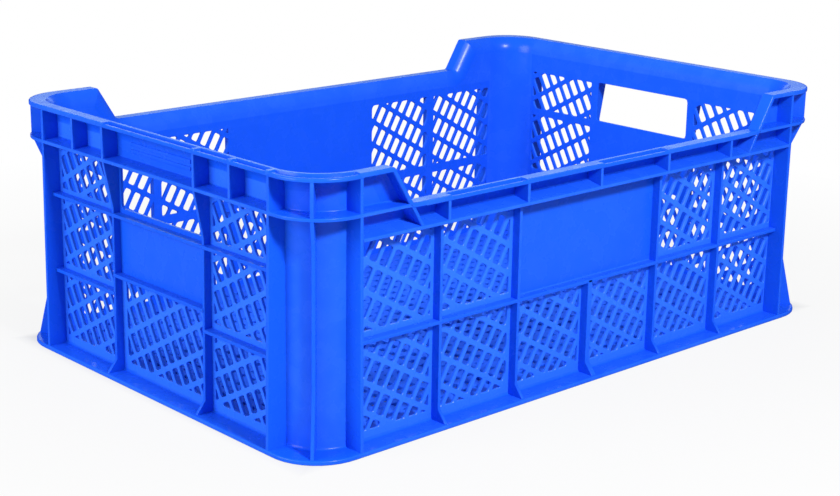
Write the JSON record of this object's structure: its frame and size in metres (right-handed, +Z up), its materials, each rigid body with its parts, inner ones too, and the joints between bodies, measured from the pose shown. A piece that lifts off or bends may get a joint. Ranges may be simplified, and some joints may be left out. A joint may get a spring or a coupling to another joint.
{
  "type": "plastic transport crate",
  "caption": "Open stackable harvest crate with slanted lattice walls, a channel rim, raised corner shoulders and a hand hole at each end.",
  "frame": {"origin": "middle of the underside, on the ground", "axes": "+X along the long sides, +Y along the short sides towards the back wall, +Z up"},
  "size_m": [0.6, 0.4, 0.21],
  "materials": {
    "blue_polyethylene": "semi-gloss moulded high-density polyethylene"
  },
  "bodies": {
    "root": {"back_base_flange": "blue_polyethylene", "back_left_corner": "blue_polyethylene", "back_left_shoulder": "blue_polyethylene", "back_right_corner": "blue_polyethylene", "back_right_shoulder": "blue_polyethylene", "back_rim": "blue_polyethylene", "back_rim_flange": "blue_polyethylene", "back_rim_ribs": "blue_polyethylene", "back_wall": "blue_polyethylene", "back_wall_bar": "blue_polyethylene", "back_wall_ribs": "blue_polyethylene", "floor_grid": "blue_polyethylene", "front_base_flange": "blue_polyethylene", "front_left_corner": "blue_polyethylene", "front_left_shoulder": "blue_polyethylene", "front_right_corner": "blue_polyethylene", "front_right_shoulder": "blue_polyethylene", "front_rim": "blue_polyethylene", "front_rim_flange": "blue_polyethylene", "front_rim_ribs": "blue_polyethylene", "front_wall": "blue_polyethylene", "front_wall_bar": "blue_polyethylene", "front_wall_ribs": "blue_polyethylene", "left_back_end_panel": "blue_polyethylene", "left_back_handle_rib": "blue_polyethylene", "left_back_level_bars": "blue_polyethylene", "left_base_flange": "blue_polyethylene", "left_front_end_panel": "blue_polyethylene", "left_front_handle_rib": "blue_polyethylene", "left_front_level_bars": "blue_polyethylene", "left_grip": "blue_polyethylene", "left_handle_plate": "blue_polyethylene", "left_plate_bars": "blue_polyethylene", "left_rim": "blue_polyethylene", "left_rim_flange": "blue_polyethylene", "left_rim_ribs": "blue_polyethylene", "right_back_end_panel": "blue_polyethylene", "right_back_handle_rib": "blue_polyethylene", "right_back_level_bars": "blue_polyethylene", "right_base_flange": "blue_polyethylene", "right_front_end_panel": "blue_polyethylene", "right_front_handle_rib": "blue_polyethylene", "right_front_level_bars": "blue_polyethylene", "right_grip": "blue_polyethylene", "right_handle_plate": "blue_polyethylene", "right_plate_bars": "blue_polyethylene", "right_rim": "blue_polyethylene", "right_rim_flange": "blue_polyethylene", "right_rim_ribs": "blue_polyethylene"}
  },
  "joints": []
}
